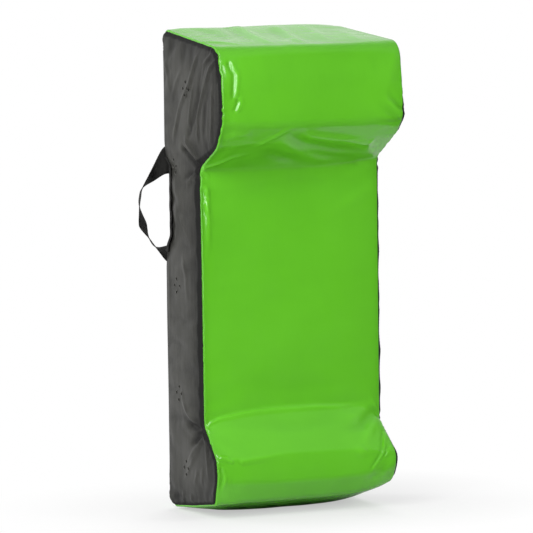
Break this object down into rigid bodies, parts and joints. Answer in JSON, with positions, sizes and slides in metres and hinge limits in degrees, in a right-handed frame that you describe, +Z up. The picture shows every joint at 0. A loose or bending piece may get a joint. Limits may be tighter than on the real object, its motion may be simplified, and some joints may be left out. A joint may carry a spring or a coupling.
{
  "type": "tackle wedge",
  "caption": "Tall padded shield with a deep wedge at its top, a smaller one at its foot and a flat panel between, in a green and grey cover with webbing side handles and a back zip.",
  "frame": {"origin": "on the flat of the base, in the middle of the pad's width and depth", "axes": "+Z up along the pad's height, -Y towards the struck front, +Y towards the back with its zip and straps, +X to the right as seen from the front"},
  "size_m": [0.4274, 0.3017, 0.8197],
  "materials": {
    "green_cover": "satin",
    "grey_cover": "satin",
    "webbing": "matte",
    "zip_cloth": "matte",
    "zip_teeth": "satin",
    "zip_metal": "satin",
    "firm_foam": "matte",
    "body_foam": "matte",
    "wedge_foam": "matte"
  },
  "bodies": {
    "pad": {"front_panel": "green_cover", "left_side_panel": "grey_cover", "right_side_panel": "grey_cover", "back_panel_left": "grey_cover", "back_panel_right": "grey_cover", "zip_tape_left": "zip_cloth", "zip_tape_right": "zip_cloth", "zip_chain_left": "zip_teeth", "zip_chain_right": "zip_teeth", "zip_bottom_stop": "zip_metal", "zip_top_stop_left": "zip_metal", "zip_top_stop_right": "zip_metal", "zip_upper_patch": "grey_cover", "zip_lower_patch": "grey_cover", "foam_back_board": "firm_foam", "foam_core_rear": "body_foam", "foam_core_front": "body_foam", "foam_upper_inner": "wedge_foam", "foam_upper_outer": "wedge_foam", "foam_lower_block": "wedge_foam", "left_upper_anchor": "webbing", "left_lower_anchor": "webbing", "left_base_webbing": "webbing", "right_upper_anchor": "webbing", "right_lower_anchor": "webbing", "right_base_webbing": "webbing"},
    "handle_left": {"handle_left": "webbing"},
    "handle_right": {"handle_right": "webbing"},
    "zip_slider": {"zip_slider": "zip_metal"},
    "zip_pull": {"zip_pull": "zip_metal"}
  },
  "joints": [
    {"name": "handle_left_swing", "type": "hinge", "parent": "pad", "child": "handle_left", "pos_m": [-0.169, 0.1259, 0.5155], "axis": [0, 0, -1], "range_deg": [-70, 90]},
    {"name": "handle_right_swing", "type": "hinge", "parent": "pad", "child": "handle_right", "pos_m": [0.169, 0.1259, 0.5155], "axis": [0, 0, 1], "range_deg": [-70, 90]},
    {"name": "zip_travel", "type": "slide", "parent": "pad", "child": "zip_slider", "axis": [0, 0, -1], "range_m": [0, 0.587]},
    {"name": "zip_pull_flip", "type": "hinge", "parent": "zip_slider", "child": "zip_pull", "pos_m": [0, 0.127, 0.7037], "axis": [1, 0, 0], "range_deg": [0, 175]}
  ]
}
